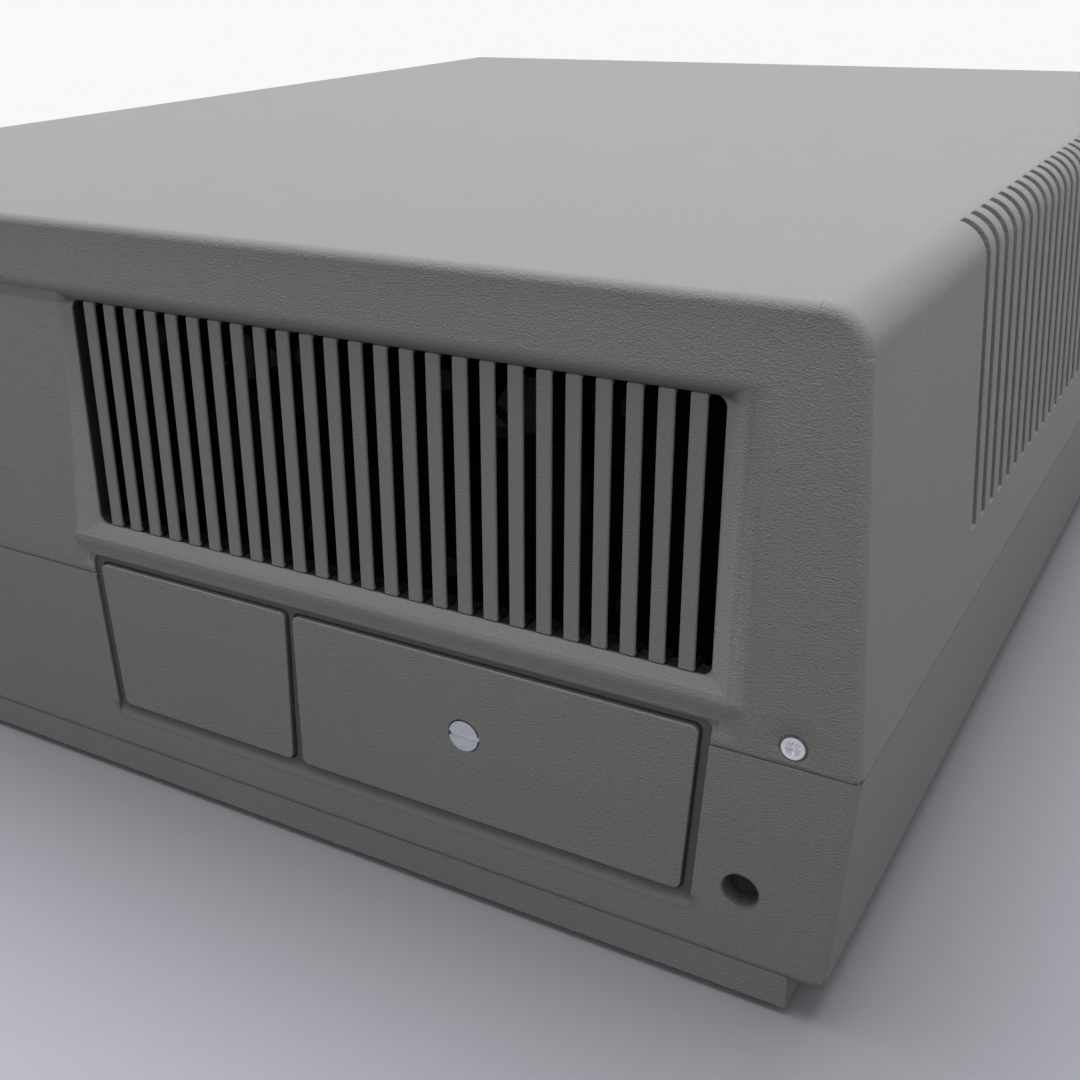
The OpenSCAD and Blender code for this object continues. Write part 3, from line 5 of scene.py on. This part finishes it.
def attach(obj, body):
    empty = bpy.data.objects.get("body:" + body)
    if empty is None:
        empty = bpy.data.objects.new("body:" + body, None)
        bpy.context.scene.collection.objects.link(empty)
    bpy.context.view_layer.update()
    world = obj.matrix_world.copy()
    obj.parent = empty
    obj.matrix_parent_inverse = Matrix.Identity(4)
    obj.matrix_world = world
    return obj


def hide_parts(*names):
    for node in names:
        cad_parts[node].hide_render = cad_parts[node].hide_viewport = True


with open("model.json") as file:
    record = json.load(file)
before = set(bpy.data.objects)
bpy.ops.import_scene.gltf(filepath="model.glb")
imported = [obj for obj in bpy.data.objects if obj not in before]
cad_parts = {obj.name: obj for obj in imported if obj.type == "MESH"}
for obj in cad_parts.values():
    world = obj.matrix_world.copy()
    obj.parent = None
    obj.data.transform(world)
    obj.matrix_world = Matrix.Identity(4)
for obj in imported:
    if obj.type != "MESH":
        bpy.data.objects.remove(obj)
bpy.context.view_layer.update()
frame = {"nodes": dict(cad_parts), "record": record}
scene = bpy.context.scene
nodes = frame["nodes"]
body_of = {n: b for b, ns in frame["record"]["behaviour"]["bodies"].items() for n in ns}


# places on the photographed face, in metres: the middle of the recess, of the grille's opening, of
# the blind socket and of the seam screws, with half sizes
RECESS_X, RECESS_HALF = 0.0802, 0.1003
GRILLE_X, GRILLE_Z, GRILLE_HALF_X, GRILLE_HALF_Z = 0.0805, 0.1200, 0.099, 0.036
SOCKET_X, SOCKET_Z, SOCKET_R = 0.18845, 0.0323, 0.0051
SCREW_X, SCREW_Z = 0.1982, 0.0751


def srgb(*v):
    v = v * 3 if len(v) == 1 else v
    return tuple(((c / 255 + 0.055) / 1.055) ** 2.4 if c > 10 else c / 255 / 12.92 for c in v) + (1,)


BLACK = (0, 0, 0, 1)


def shift(tone, share):
    return tuple(min(c * (1 + share), 1) for c in tone[:3]) + (1,)


# materials
class Mat:
    def __init__(self, name):
        self.m = bpy.data.materials.new(name)
        self.m.use_nodes = True
        self.t = self.m.node_tree
        self.b = self.t.nodes["Principled BSDF"]
        self.co = self.t.nodes.new("ShaderNodeTexCoord").outputs["Object"]

    def node(self, kind, ins=(), **props):
        n = self.t.nodes.new(kind)
        for k, v in props.items():
            setattr(n, k, v)
        for k, v in dict(ins).items():
            self.put(n.inputs[k], v)
        return n

    def put(self, socket, v):
        if isinstance(v, bpy.types.NodeSocket):
            self.t.links.new(v, socket)
        else:
            socket.default_value = v

    def math(self, op, *ins):
        return self.node("ShaderNodeMath", dict(enumerate(ins)), operation=op).outputs[0]

    def spread(self, v, a, b, lo=0.0, hi=1.0):
        return self.node("ShaderNodeMapRange", {0: v, 1: a, 2: b, 3: lo, 4: hi}).outputs[0]

    def axes(self):
        return self.node("ShaderNodeSeparateXYZ", {0: self.co}).outputs

    def fold(self, op, first, *rest):
        for v in rest:
            first = self.math(op, first, v)
        return first

    def all(self, *masks):
        return self.fold("MULTIPLY", *masks)

    def any(self, *masks):
        return self.fold("MAXIMUM", *masks)

    def about(self, v, middle, half):
        return self.math("LESS_THAN", self.math("ABSOLUTE", self.math("SUBTRACT", v, middle)), half)

    def far(self, u, v):
        return self.math("SQRT", self.math("ADD", self.math("MULTIPLY", u, u), self.math("MULTIPLY", v, v)))

    def grey(self, v):
        return self.node("ShaderNodeCombineColor", {0: v, 1: v, 2: v}).outputs[0]

    def stretch(self, scale):
        return self.node("ShaderNodeMapping", {"Vector": self.co, "Scale": scale}).outputs[0]

    def noise(self, scale, detail=2.0, rough=0.5, at=None, distort=0.0):
        return self.node("ShaderNodeTexNoise", {"Vector": at or self.co, "Scale": scale, "Detail": detail,
                                                "Roughness": rough, "Distortion": distort}).outputs["Fac"]

    def cells(self, scale, at, rand):
        return self.node("ShaderNodeTexVoronoi", {"Vector": at, "Scale": scale, "Randomness": rand},
                         feature="F1").outputs["Distance"]

    def mix(self, f, a, b, kind="MIX"):
        n = self.node("ShaderNodeMix", data_type="RGBA", blend_type=kind)
        self.put(n.inputs[0], f)
        self.put(n.inputs[6], a)
        self.put(n.inputs[7], b)
        return n.outputs[2]

    def bump(self, height, distance, strength=1.0):
        return self.node("ShaderNodeBump", {"Height": height, "Distance": distance,
                                            "Strength": strength}).outputs["Normal"]

    def done(self, **sockets):
        for k, v in sockets.items():
            self.put(self.b.inputs[k.replace("_", " ")], v)
        return self.m


def shade_masks(m):
    # painted shade in the sunk edge round the covers, in the blind socket, under the grille's
    # lip and inside its opening: how dark each place is painted, and where the grain stops
    x, y, z = m.axes()
    front = m.spread(y, -0.2600, -0.2590, 1.0, 0.0)
    below = m.spread(z, 0.0766, 0.0770, 1.0, 0.0)
    recess = m.all(m.spread(y, -0.2667, -0.2661), front, below, m.spread(z, 0.0200, 0.0255),
                   m.about(x, RECESS_X, RECESS_HALF))
    off = m.math("ABSOLUTE", m.math("SUBTRACT", x, RECESS_X))
    foot = m.all(m.spread(z, 0.0208, 0.0262), m.math("LESS_THAN", z, 0.0267), front,
                 m.spread(off, 0.0940, 0.0985, 1.0, 0.0))
    lip = m.all(m.spread(y, -0.2668, -0.2642), front, m.spread(z, 0.1520, 0.1530),
                m.math("LESS_THAN", z, 0.161), m.about(x, 0.0, 0.1895))
    away = m.far(m.math("SUBTRACT", x, SOCKET_X), m.math("SUBTRACT", z, SOCKET_Z))
    socket = m.math("LESS_THAN", away, SOCKET_R)
    well = m.all(socket, m.spread(y, -0.2668, -0.2600, 0.25, 0.85))
    inside = m.all(m.spread(y, -0.2637, -0.2631), m.spread(y, -0.2400, -0.2390, 0.9, 0.0),
                   m.about(x, GRILLE_X, GRILLE_HALF_X), m.about(z, GRILLE_Z, GRILLE_HALF_Z))
    calm = m.math("SUBTRACT", 1.0, m.any(recess, foot, socket, lip))
    dark = m.any(m.all(m.any(recess, lip), 0.57), m.all(foot, 0.62), inside, well)
    return dark, calm


def moulded(name, tone, rough=0.6, grain=1.0, size=1.0, rear=False, painted_falloff=False, behind=None):
    # textured moulded plastic: wide leathery wrinkles, cloudy colour, slight scuffs
    m = Mat(name)
    sway = m.node("ShaderNodeTexNoise", {"Vector": m.co, "Scale": 1100 / size, "Detail": 1.0}).outputs["Color"]
    sway = m.node("ShaderNodeVectorMath", {0: sway, 1: (0.0004 * size,) * 3}, operation="MULTIPLY").outputs[0]
    at = m.node("ShaderNodeVectorMath", {0: m.stretch((0.6, 0.6, 1.0)), 1: sway}, operation="ADD").outputs[0]
    wrinkle = m.noise(2700 / size, 1.0, 0.5, at, 0.4)
    pebble = m.node("ShaderNodeTexVoronoi", {"Vector": at, "Scale": 2400 / size, "Smoothness": 0.3},
                    feature="SMOOTH_F1").outputs["Distance"]
    height = m.math("ADD", wrinkle, m.math("MULTIPLY", pebble, 0.45))
    cloud = m.noise(14, 4, 0.6)
    dust = m.noise(95, 3, 0.65)
    base = m.mix(m.spread(cloud, 0.3, 0.7), shift(tone, -0.03), shift(tone, 0.03))
    base = m.mix(m.spread(wrinkle, 0.3, 0.6, 0.08, 0.0), base, BLACK)
    base = m.mix(m.spread(dust, 0.58, 0.75, 0.0, 0.03), base, srgb(198, 197, 195))
    calm = 1.0
    if rear:
        # painted shade: darkens the sunk edge round the covers, the blind socket, under the grille's lip and inside
        # its opening
        dark, calm = shade_masks(m)
        base = m.mix(dark, base, BLACK)
    if painted_falloff:
        # painted light and shade: the walls' colour is painted paler near the top and darker towards the foot, as
        # light falls on them, while the top keeps its plain tone
        z = m.axes()[2]
        level = m.all(m.spread(z, 0.0, 0.155, 0.92, 1.13), m.spread(z, 0.1655, 0.1755, 1.0, 0.885))
        base = m.mix(1.0, base, m.grey(level), "MULTIPLY")
    if behind is not None:
        # what stands deeper than the slats' front blades stays in shade
        base = m.mix(m.spread(m.axes()[1], behind, behind + 0.0006, 0.0, 0.96), base, BLACK)
    # the grain is shallower on the top and the sides
    normal = m.node("ShaderNodeNewGeometry").outputs["True Normal"]
    turn = m.node("ShaderNodeSeparateXYZ", {0: normal}).outputs
    calm = m.all(m.spread(turn[2], 0.1, 0.8, 1.0, 0.35),
                 m.spread(m.math("ABSOLUTE", turn[0]), 0.3, 0.95, 1.0, 0.45), calm)
    wear = m.noise(38, 5, 0.7, distort=0.6)
    r = m.math("ADD", m.spread(cloud, 0.3, 0.7, rough - 0.04, rough + 0.05), m.spread(wear, 0.5, 0.8, 0.0, -0.05))
    m.b.inputs["Specular IOR Level"].default_value = 0.28
    return m.done(Base_Color=base, Roughness=r, Normal=m.bump(height, 0.00034 * grain * size, calm))


def metal(name, tone, rough=0.3, brushed=(1, 1, 1), vary=0.1, scale=900, depth=0.00002, tarnish=None):
    m = Mat(name)
    line = m.noise(scale, 3, 0.6, at=m.stretch(brushed))
    patch = m.noise(60, 4, 0.6)
    base = m.mix(m.spread(patch, 0.35, 0.7), tone, shift(tone, -vary))
    if tarnish:
        base = m.mix(m.spread(m.noise(130, 5, 0.7), 0.55, 0.75, 0.0, 0.6), base, tarnish)
    r = m.math("ADD", m.spread(line, 0.3, 0.7, rough - 0.07, rough + 0.08), m.spread(patch, 0.4, 0.7, 0.0, 0.08))
    m.b.inputs["Metallic"].default_value = 1.0
    return m.done(Base_Color=base, Roughness=r, Normal=m.bump(line, depth, 0.6))


def satin(name, tone, lobes=False):
    # brushed nickel; the cross head has a raised rim and four darker, slightly sunk fields between the arms
    m = Mat(name)
    line = m.noise(2400, 3, 0.6, at=m.stretch((1.0, 1.0, 0.25)))
    patch = m.noise(420, 3, 0.6)
    base = m.mix(m.spread(patch, 0.35, 0.7, 0.0, 0.12), tone, (0.3, 0.3, 0.32, 1))
    height = line
    if lobes:
        x, _, z = m.axes()
        u = m.math("SUBTRACT", m.math("ABSOLUTE", x), SCREW_X)
        v = m.math("SUBTRACT", z, SCREW_Z)
        r = m.far(u, v)
        rim = m.spread(r, 0.00215, 0.0024)
        wave = m.math("COSINE", m.math("MULTIPLY", m.math("ARCTAN2", v, u), 4.0))
        field = m.all(m.spread(wave, -0.6, 0.6, 1.0, 0.0), m.spread(r, 0.0004, 0.0008),
                      m.spread(r, 0.0018, 0.0021, 1.0, 0.0))
        base = m.mix(m.math("MULTIPLY", field, 0.3), base, (0.18, 0.18, 0.2, 1))
        height = m.math("ADD", m.math("MULTIPLY", line, 0.1), m.math("SUBTRACT", m.math("MULTIPLY", rim, 2.0), field))
    m.b.inputs["Metallic"].default_value = 0.85
    return m.done(Base_Color=base, Roughness=m.spread(line, 0.3, 0.7, 0.34, 0.46), Normal=m.bump(height, 0.00003, 0.6))


def plain(name, tone, rough=0.5, vary=0.1, scale=300, depth=0.00004, spec=0.5, coat=0.0):
    m = Mat(name)
    n1, n2 = m.noise(scale, 4, 0.6), m.noise(scale / 12, 3, 0.6)
    base = m.mix(m.spread(n2, 0.3, 0.7), shift(tone, -vary), shift(tone, vary))
    m.b.inputs["Specular IOR Level"].default_value = spec
    m.b.inputs["Coat Weight"].default_value = coat
    return m.done(Base_Color=base, Roughness=m.spread(n1, 0.3, 0.7, rough - 0.06, rough + 0.08),
                  Normal=m.bump(n1, depth, 0.7))


def board(name, tone, track):
    # printed board: tracks under lacquer, in both directions, with pads
    m = Mat(name)
    ways = []
    for v, scale in zip(m.axes(), ((1.0, 0.12, 1.0), (0.12, 1.0, 1.0))):
        lane = m.math("GREATER_THAN", m.cells(130, m.stretch(scale), 0.8), 0.35)
        rows = m.math("FRACT", m.math("MULTIPLY", v, 400.0))
        ways.append(m.grey(m.all(m.math("GREATER_THAN", rows, 0.55), lane)))
    region = m.math("GREATER_THAN", m.noise(16, 1), 0.5)
    f = m.node("ShaderNodeRGBToBW", {0: m.mix(region, *ways)}).outputs[0]
    base = m.mix(f, tone, track)
    m.b.inputs["Coat Weight"].default_value = 0.4
    return m.done(Base_Color=base, Roughness=m.spread(m.noise(200), 0.3, 0.7, 0.3, 0.45),
                  Normal=m.bump(f, 0.00004, 0.6))


CASE = (0.385, 0.385, 0.385, 1)
M = {
    "case": moulded("case_plastic", CASE, rear=True, painted_falloff=True),
    "grille": moulded("grille_plastic", CASE, grain=0.6, behind=-0.2630),
    "plinth": moulded("plinth_plastic", CASE, painted_falloff=True),
    "dark": moulded("dark_plastic", srgb(58, 58, 60), 0.5, 0.6, 0.8),
    "black": moulded("black_plastic", srgb(24, 24, 25), 0.45, 0.4, 0.7),
    # painted shade: the fan bracket, speaker, fan frames and rotors stand behind the grille and are painted near black
    # with little sheen, darker than black plastic, as the shade there
    "shaded_black": plain("black_in_painted_shade", srgb(6), 0.9, spec=0.05),
    "fan_black_shaded": plain("fan_plastic", srgb(7), 0.8, spec=0.06),
    "rubber": plain("rubber", srgb(30), 0.85, 0.25, 700, 0.0001, 0.25),
    "nylon": plain("nylon", srgb(196, 192, 180), 0.5, 0.05),
    "screw": satin("nickel_coin", srgb(214, 217, 222)),
    "pan": satin("nickel_pan", srgb(242, 243, 247), True),
    "blackened": metal("blackened_screw", srgb(30), 0.5, (1, 1, 1), 0.06, 1500, 0.00003),
    "zinc": metal("zinc_steel", srgb(176, 178, 180), 0.36, (1, 0.15, 1), 0.14, 500, 0.00002, srgb(150, 146, 138)),
    "steel": metal("turned_steel", srgb(190, 190, 192), 0.25, (1, 1, 0.1), 0.08, 800),
    "brass": metal("brass", srgb(206, 172, 96), 0.3, (1, 1, 0.2), 0.12, 700),
    "cast": metal("cast_alloy", srgb(158, 160, 163), 0.5, (1, 1, 1), 0.12, 900, 0.00008),
    "tin": metal("tinned", srgb(208, 208, 205), 0.32, (1, 1, 0.3), 0.08, 700),
    "anodised": metal("black_anodised", srgb(40, 40, 44), 0.4, (1, 1, 0.2), 0.1, 700),
    "green": board("main_board", srgb(20, 74, 42), srgb(34, 104, 58)),
    "tan": board("supply_board", srgb(150, 112, 62), srgb(126, 88, 44)),
    "chip": plain("epoxy", srgb(26, 26, 28), 0.42, 0.15, 900, 0.00003),
    "ceramic": plain("ceramic", srgb(120, 108, 122), 0.35, 0.06, 500, 0.00002),
    "core": plain("varnished_core", srgb(92, 82, 66), 0.35, 0.2, 400, 0.00005, coat=0.3),
    "sleeve": plain("capacitor_sleeve", srgb(28, 44, 92), 0.3, 0.1, 300, 0.00002, coat=0.3),
    "lens": plain("green_lens", srgb(40, 150, 70), 0.2, 0.1, 300, 0.00001, coat=0.5),
    "rocker": moulded("rocker_plastic", srgb(34, 34, 36), 0.35, 0.25, 0.7),
    "grey_cap": moulded("cap_plastic", srgb(110, 110, 112), 0.45, 0.3, 0.7),
}

USE = {
    "case": "upper_case lower_case small_cover large_cover front_fascia",
    "grille": "rear_grille", "plinth": "base_plinth", "rubber": "rubber_feet",
    "screw": "cover_fastener", "pan": "case_screws", "nylon": "fastener_receptacle",
    "zinc": "base_screws port_panel chassis_tray supply_box supply_lid drive_stand",
    "blackened": "bracket_screws fan_screws",
    "fan_black_shaded": "fan_frames fan_rotor_left fan_rotor_right",
    "black": "mains_inlet fuse_holder fuse_cap power_switch "
             "slot_connectors drive_faceplate drive_lever reset_switch",
    "shaded_black": "fan_bracket speaker", "tin": "port_connectors board_screws",
    "green": "mainboard", "brass": "board_standoffs",
    "chip": "board_chips", "ceramic": "processor", "tan": "supply_board", "core": "supply_transformer",
    "sleeve": "supply_capacitors", "anodised": "supply_heatsink", "rocker": "power_rocker", "lens": "lamp_lens",
    "dark": "lamp_holder", "grey_cap": "reset_button head_carriage", "cast": "drive_frame drive_spindle",
    "steel": "drive_motor head_screw",
}
finish = {n: M[k] for k, ns in USE.items() for n in ns.split()}


def dress(obj, mat):
    obj.data.materials.clear()
    obj.data.materials.append(mat)


for name, obj in nodes.items():
    dress(obj, finish[name])


# clean meshes with eased edges
def clean(node, width=0.0003, keep=lambda p: True, cuts=()):
    src = nodes[node]
    bm = bmesh.new()
    bm.from_mesh(src.data)
    bmesh.ops.remove_doubles(bm, verts=bm.verts, dist=2e-5)
    bmesh.ops.dissolve_limit(bm, angle_limit=math.radians(0.5), use_dissolve_boundaries=False,
                             verts=bm.verts, edges=bm.edges)
    sharp = [e for e in bm.edges if len(e.link_faces) == 2 and e.calc_face_angle(0) > math.radians(28)
             and all(keep(v.co) for v in e.verts)]
    bmesh.ops.bevel(bm, geom=sharp, offset=width, offset_type="OFFSET", segments=3, profile=0.5,
                    affect="EDGES", clamp_overlap=False, loop_slide=True)
    # level cuts keep the shading at the seam from running up the tall faces
    for z in cuts:
        bmesh.ops.bisect_plane(bm, geom=bm.verts[:] + bm.edges[:] + bm.faces[:], dist=1e-6,
                               plane_co=(0, 0, z), plane_no=(0, 0, 1))
    me = bpy.data.meshes.new(node + "_shape")
    bm.to_mesh(me)
    bm.free()
    for p in me.polygons:
        p.use_smooth = True
    me.set_sharp_from_angle(angle=math.radians(38))
    obj = bpy.data.objects.new(node + "_shape", me)
    scene.collection.objects.link(obj)
    dress(obj, finish[node])
    wn = obj.modifiers.new("normals", "WEIGHTED_NORMAL")
    wn.mode, wn.weight, wn.keep_sharp = "FACE_AREA", 100, True
    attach(obj, body_of[node])
    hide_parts(node)
    return obj


def panel(p):
    inner = abs(p.x) < 0.1885 and 0.016 < p.z < 0.1605
    # the soft sill and the soft foot of the recess have no edge to ease
    soft = (0.0772 < p.z < 0.0892 and p.y < -0.2635) or (0.0190 < p.z < 0.0262 and p.y < -0.2653)
    bores = abs(abs(p.x) - 0.1985) < 0.005 and 0.0707 < p.z < 0.0795
    return p.y < -0.255 and not soft and (inner or bores)


def vents(p):
    return abs(p.x) > 0.198 and abs(p.y) < 0.2 and p.z > 0.09


clean("rear_grille", 0.0005)
clean("small_cover")
clean("large_cover")
clean("upper_case", keep=lambda p: panel(p) or vents(p), cuts=(0.0713, 0.0745))
clean("lower_case", keep=panel, cuts=(0.0690,))
clean("base_plinth")


# floor, backdrop, lamps, camera
BACKDROP = (0.94, 0.94, 0.94, 1)


def floor_material():
    m = Mat("floor")
    x, y, _ = m.axes()
    f = m.node("ShaderNodeMapRange", {0: m.far(x, y), 1: 0.95, 2: 1.7, 3: 0.0, 4: 1.0},
               interpolation_type="SMOOTHSTEP").outputs[0]
    path = m.node("ShaderNodeLightPath").outputs
    watched = m.any(path["Is Camera Ray"], path["Is Glossy Ray"])
    seen = m.all(f, watched)
    glow = m.node("ShaderNodeEmission", {"Color": BACKDROP, "Strength": 1.0}).outputs[0]
    mixer = m.node("ShaderNodeMixShader", {0: seen})
    # painted shadow: by distance from the footprint, the floor's colour is painted darker close to the case and paler
    # further out
    dx, dy = (m.any(m.math("SUBTRACT", m.math("ABSOLUTE", v), half), 0.0) for v, half in ((x, 0.2), (y, 0.26)))
    d = m.far(dx, dy)
    painted_shadow_and_speck = m.mix(m.spread(d, 0.015, 0.13), (0.455, 0.455, 0.50, 1), (0.66, 0.66, 0.75, 1))
    painted_shadow_and_speck = m.mix(m.spread(d, 0.13, 0.6), painted_shadow_and_speck, (0.83, 0.83, 0.94, 1))
    painted_shadow_and_speck = m.mix(m.spread(m.noise(120, 3, 0.6), 0.3, 0.7, 0.0, 0.04), painted_shadow_and_speck, (0.3, 0.3, 0.33, 1))
    painted_shadow_and_speck = m.mix(watched, (0.12, 0.12, 0.12, 1), painted_shadow_and_speck)
    m.b.inputs["Specular IOR Level"].default_value = 0.1
    m.done(Base_Color=painted_shadow_and_speck, Roughness=0.8)
    m.t.links.new(m.b.outputs[0], mixer.inputs[1])
    m.t.links.new(glow, mixer.inputs[2])
    m.t.links.new(mixer.outputs[0], m.t.nodes["Material Output"].inputs[0])
    return m.m


bpy.ops.mesh.primitive_grid_add(x_subdivisions=24, y_subdivisions=24, size=30, location=(0, 0, 0))
floor = bpy.context.object
floor.name = "floor"
dress(floor, floor_material())

world = bpy.data.worlds.new("studio")
world.use_nodes = True
scene.world = world
wt = world.node_tree
bg = wt.nodes["Background"]
seen = wt.nodes.new("ShaderNodeBackground")
seen.inputs[0].default_value = BACKDROP
seen.inputs[1].default_value = 1.0
path = wt.nodes.new("ShaderNodeLightPath")
direct = path.outputs["Is Camera Ray"]
for kind in ("Is Glossy Ray", "Is Transmission Ray"):
    join = wt.nodes.new("ShaderNodeMath")
    join.operation = "MAXIMUM"
    wt.links.new(direct, join.inputs[0])
    wt.links.new(path.outputs[kind], join.inputs[1])
    direct = join.outputs[0]
wmix = wt.nodes.new("ShaderNodeMixShader")
wt.links.new(direct, wmix.inputs[0])
wt.links.new(bg.outputs[0], wmix.inputs[1])
wt.links.new(seen.outputs[0], wmix.inputs[2])
wt.links.new(wmix.outputs[0], wt.nodes["World Output"].inputs[0])
bg.inputs[0].default_value = (1, 1, 1, 1)


def lamp(name, at, size, power):
    data = bpy.data.lights.new(name, "AREA")
    data.shape = "DISK"
    data.size = size
    data.energy = power
    obj = bpy.data.objects.new(name, data)
    obj.location = at
    obj.rotation_euler = (Vector((0, 0, 0.08)) - Vector(at)).to_track_quat("-Z", "Y").to_euler()
    obj.visible_camera = False
    scene.collection.objects.link(obj)


bg.inputs[1].default_value = 0.265
for name, at, size, power in (("top", (0, 0, 2.2), 2.0, 27.7), ("back", (-0.3, 1.6, 1.8), 1.6, 4.1),
                              ("left", (-2.0, 0.0, 1.4), 1.4, 5.6), ("right", (2.0, 0.2, 1.4), 1.4, 1.2),
                              ("front", (0.4, -2.2, 1.4), 1.4, 4.6)):
    lamp(name, at, size, power)

# the camera fitted to the photograph: turned about three axes, its frame moved sideways
yaw, pitch, roll = math.radians(-31.71), math.radians(23.48), 0.0218
fwd = Vector((math.sin(yaw) * math.cos(pitch), math.cos(yaw) * math.cos(pitch), -math.sin(pitch)))
right = fwd.cross(Vector((0, 0, 1))).normalized()
down = fwd.cross(right)
ax = right * math.cos(roll) + down * math.sin(roll)
ay = right * math.sin(roll) - down * math.cos(roll)
rot = Matrix((ax, ay, -fwd)).transposed()
cam = bpy.data.cameras.new("camera")
cam.sensor_width = 36
FRAME = 1080
cam.lens = 1368.4 / FRAME * cam.sensor_width
cam.shift_x = (FRAME / 2 - 468.1) / FRAME
cam.clip_start, cam.clip_end = 0.01, 60
camera = bpy.data.objects.new("camera", cam)
camera.matrix_world = Matrix.Translation((0.274755, -0.527, 0.24146)) @ rot.to_4x4()
scene.collection.objects.link(camera)
scene.camera = camera
scene.view_settings.view_transform = "Standard"
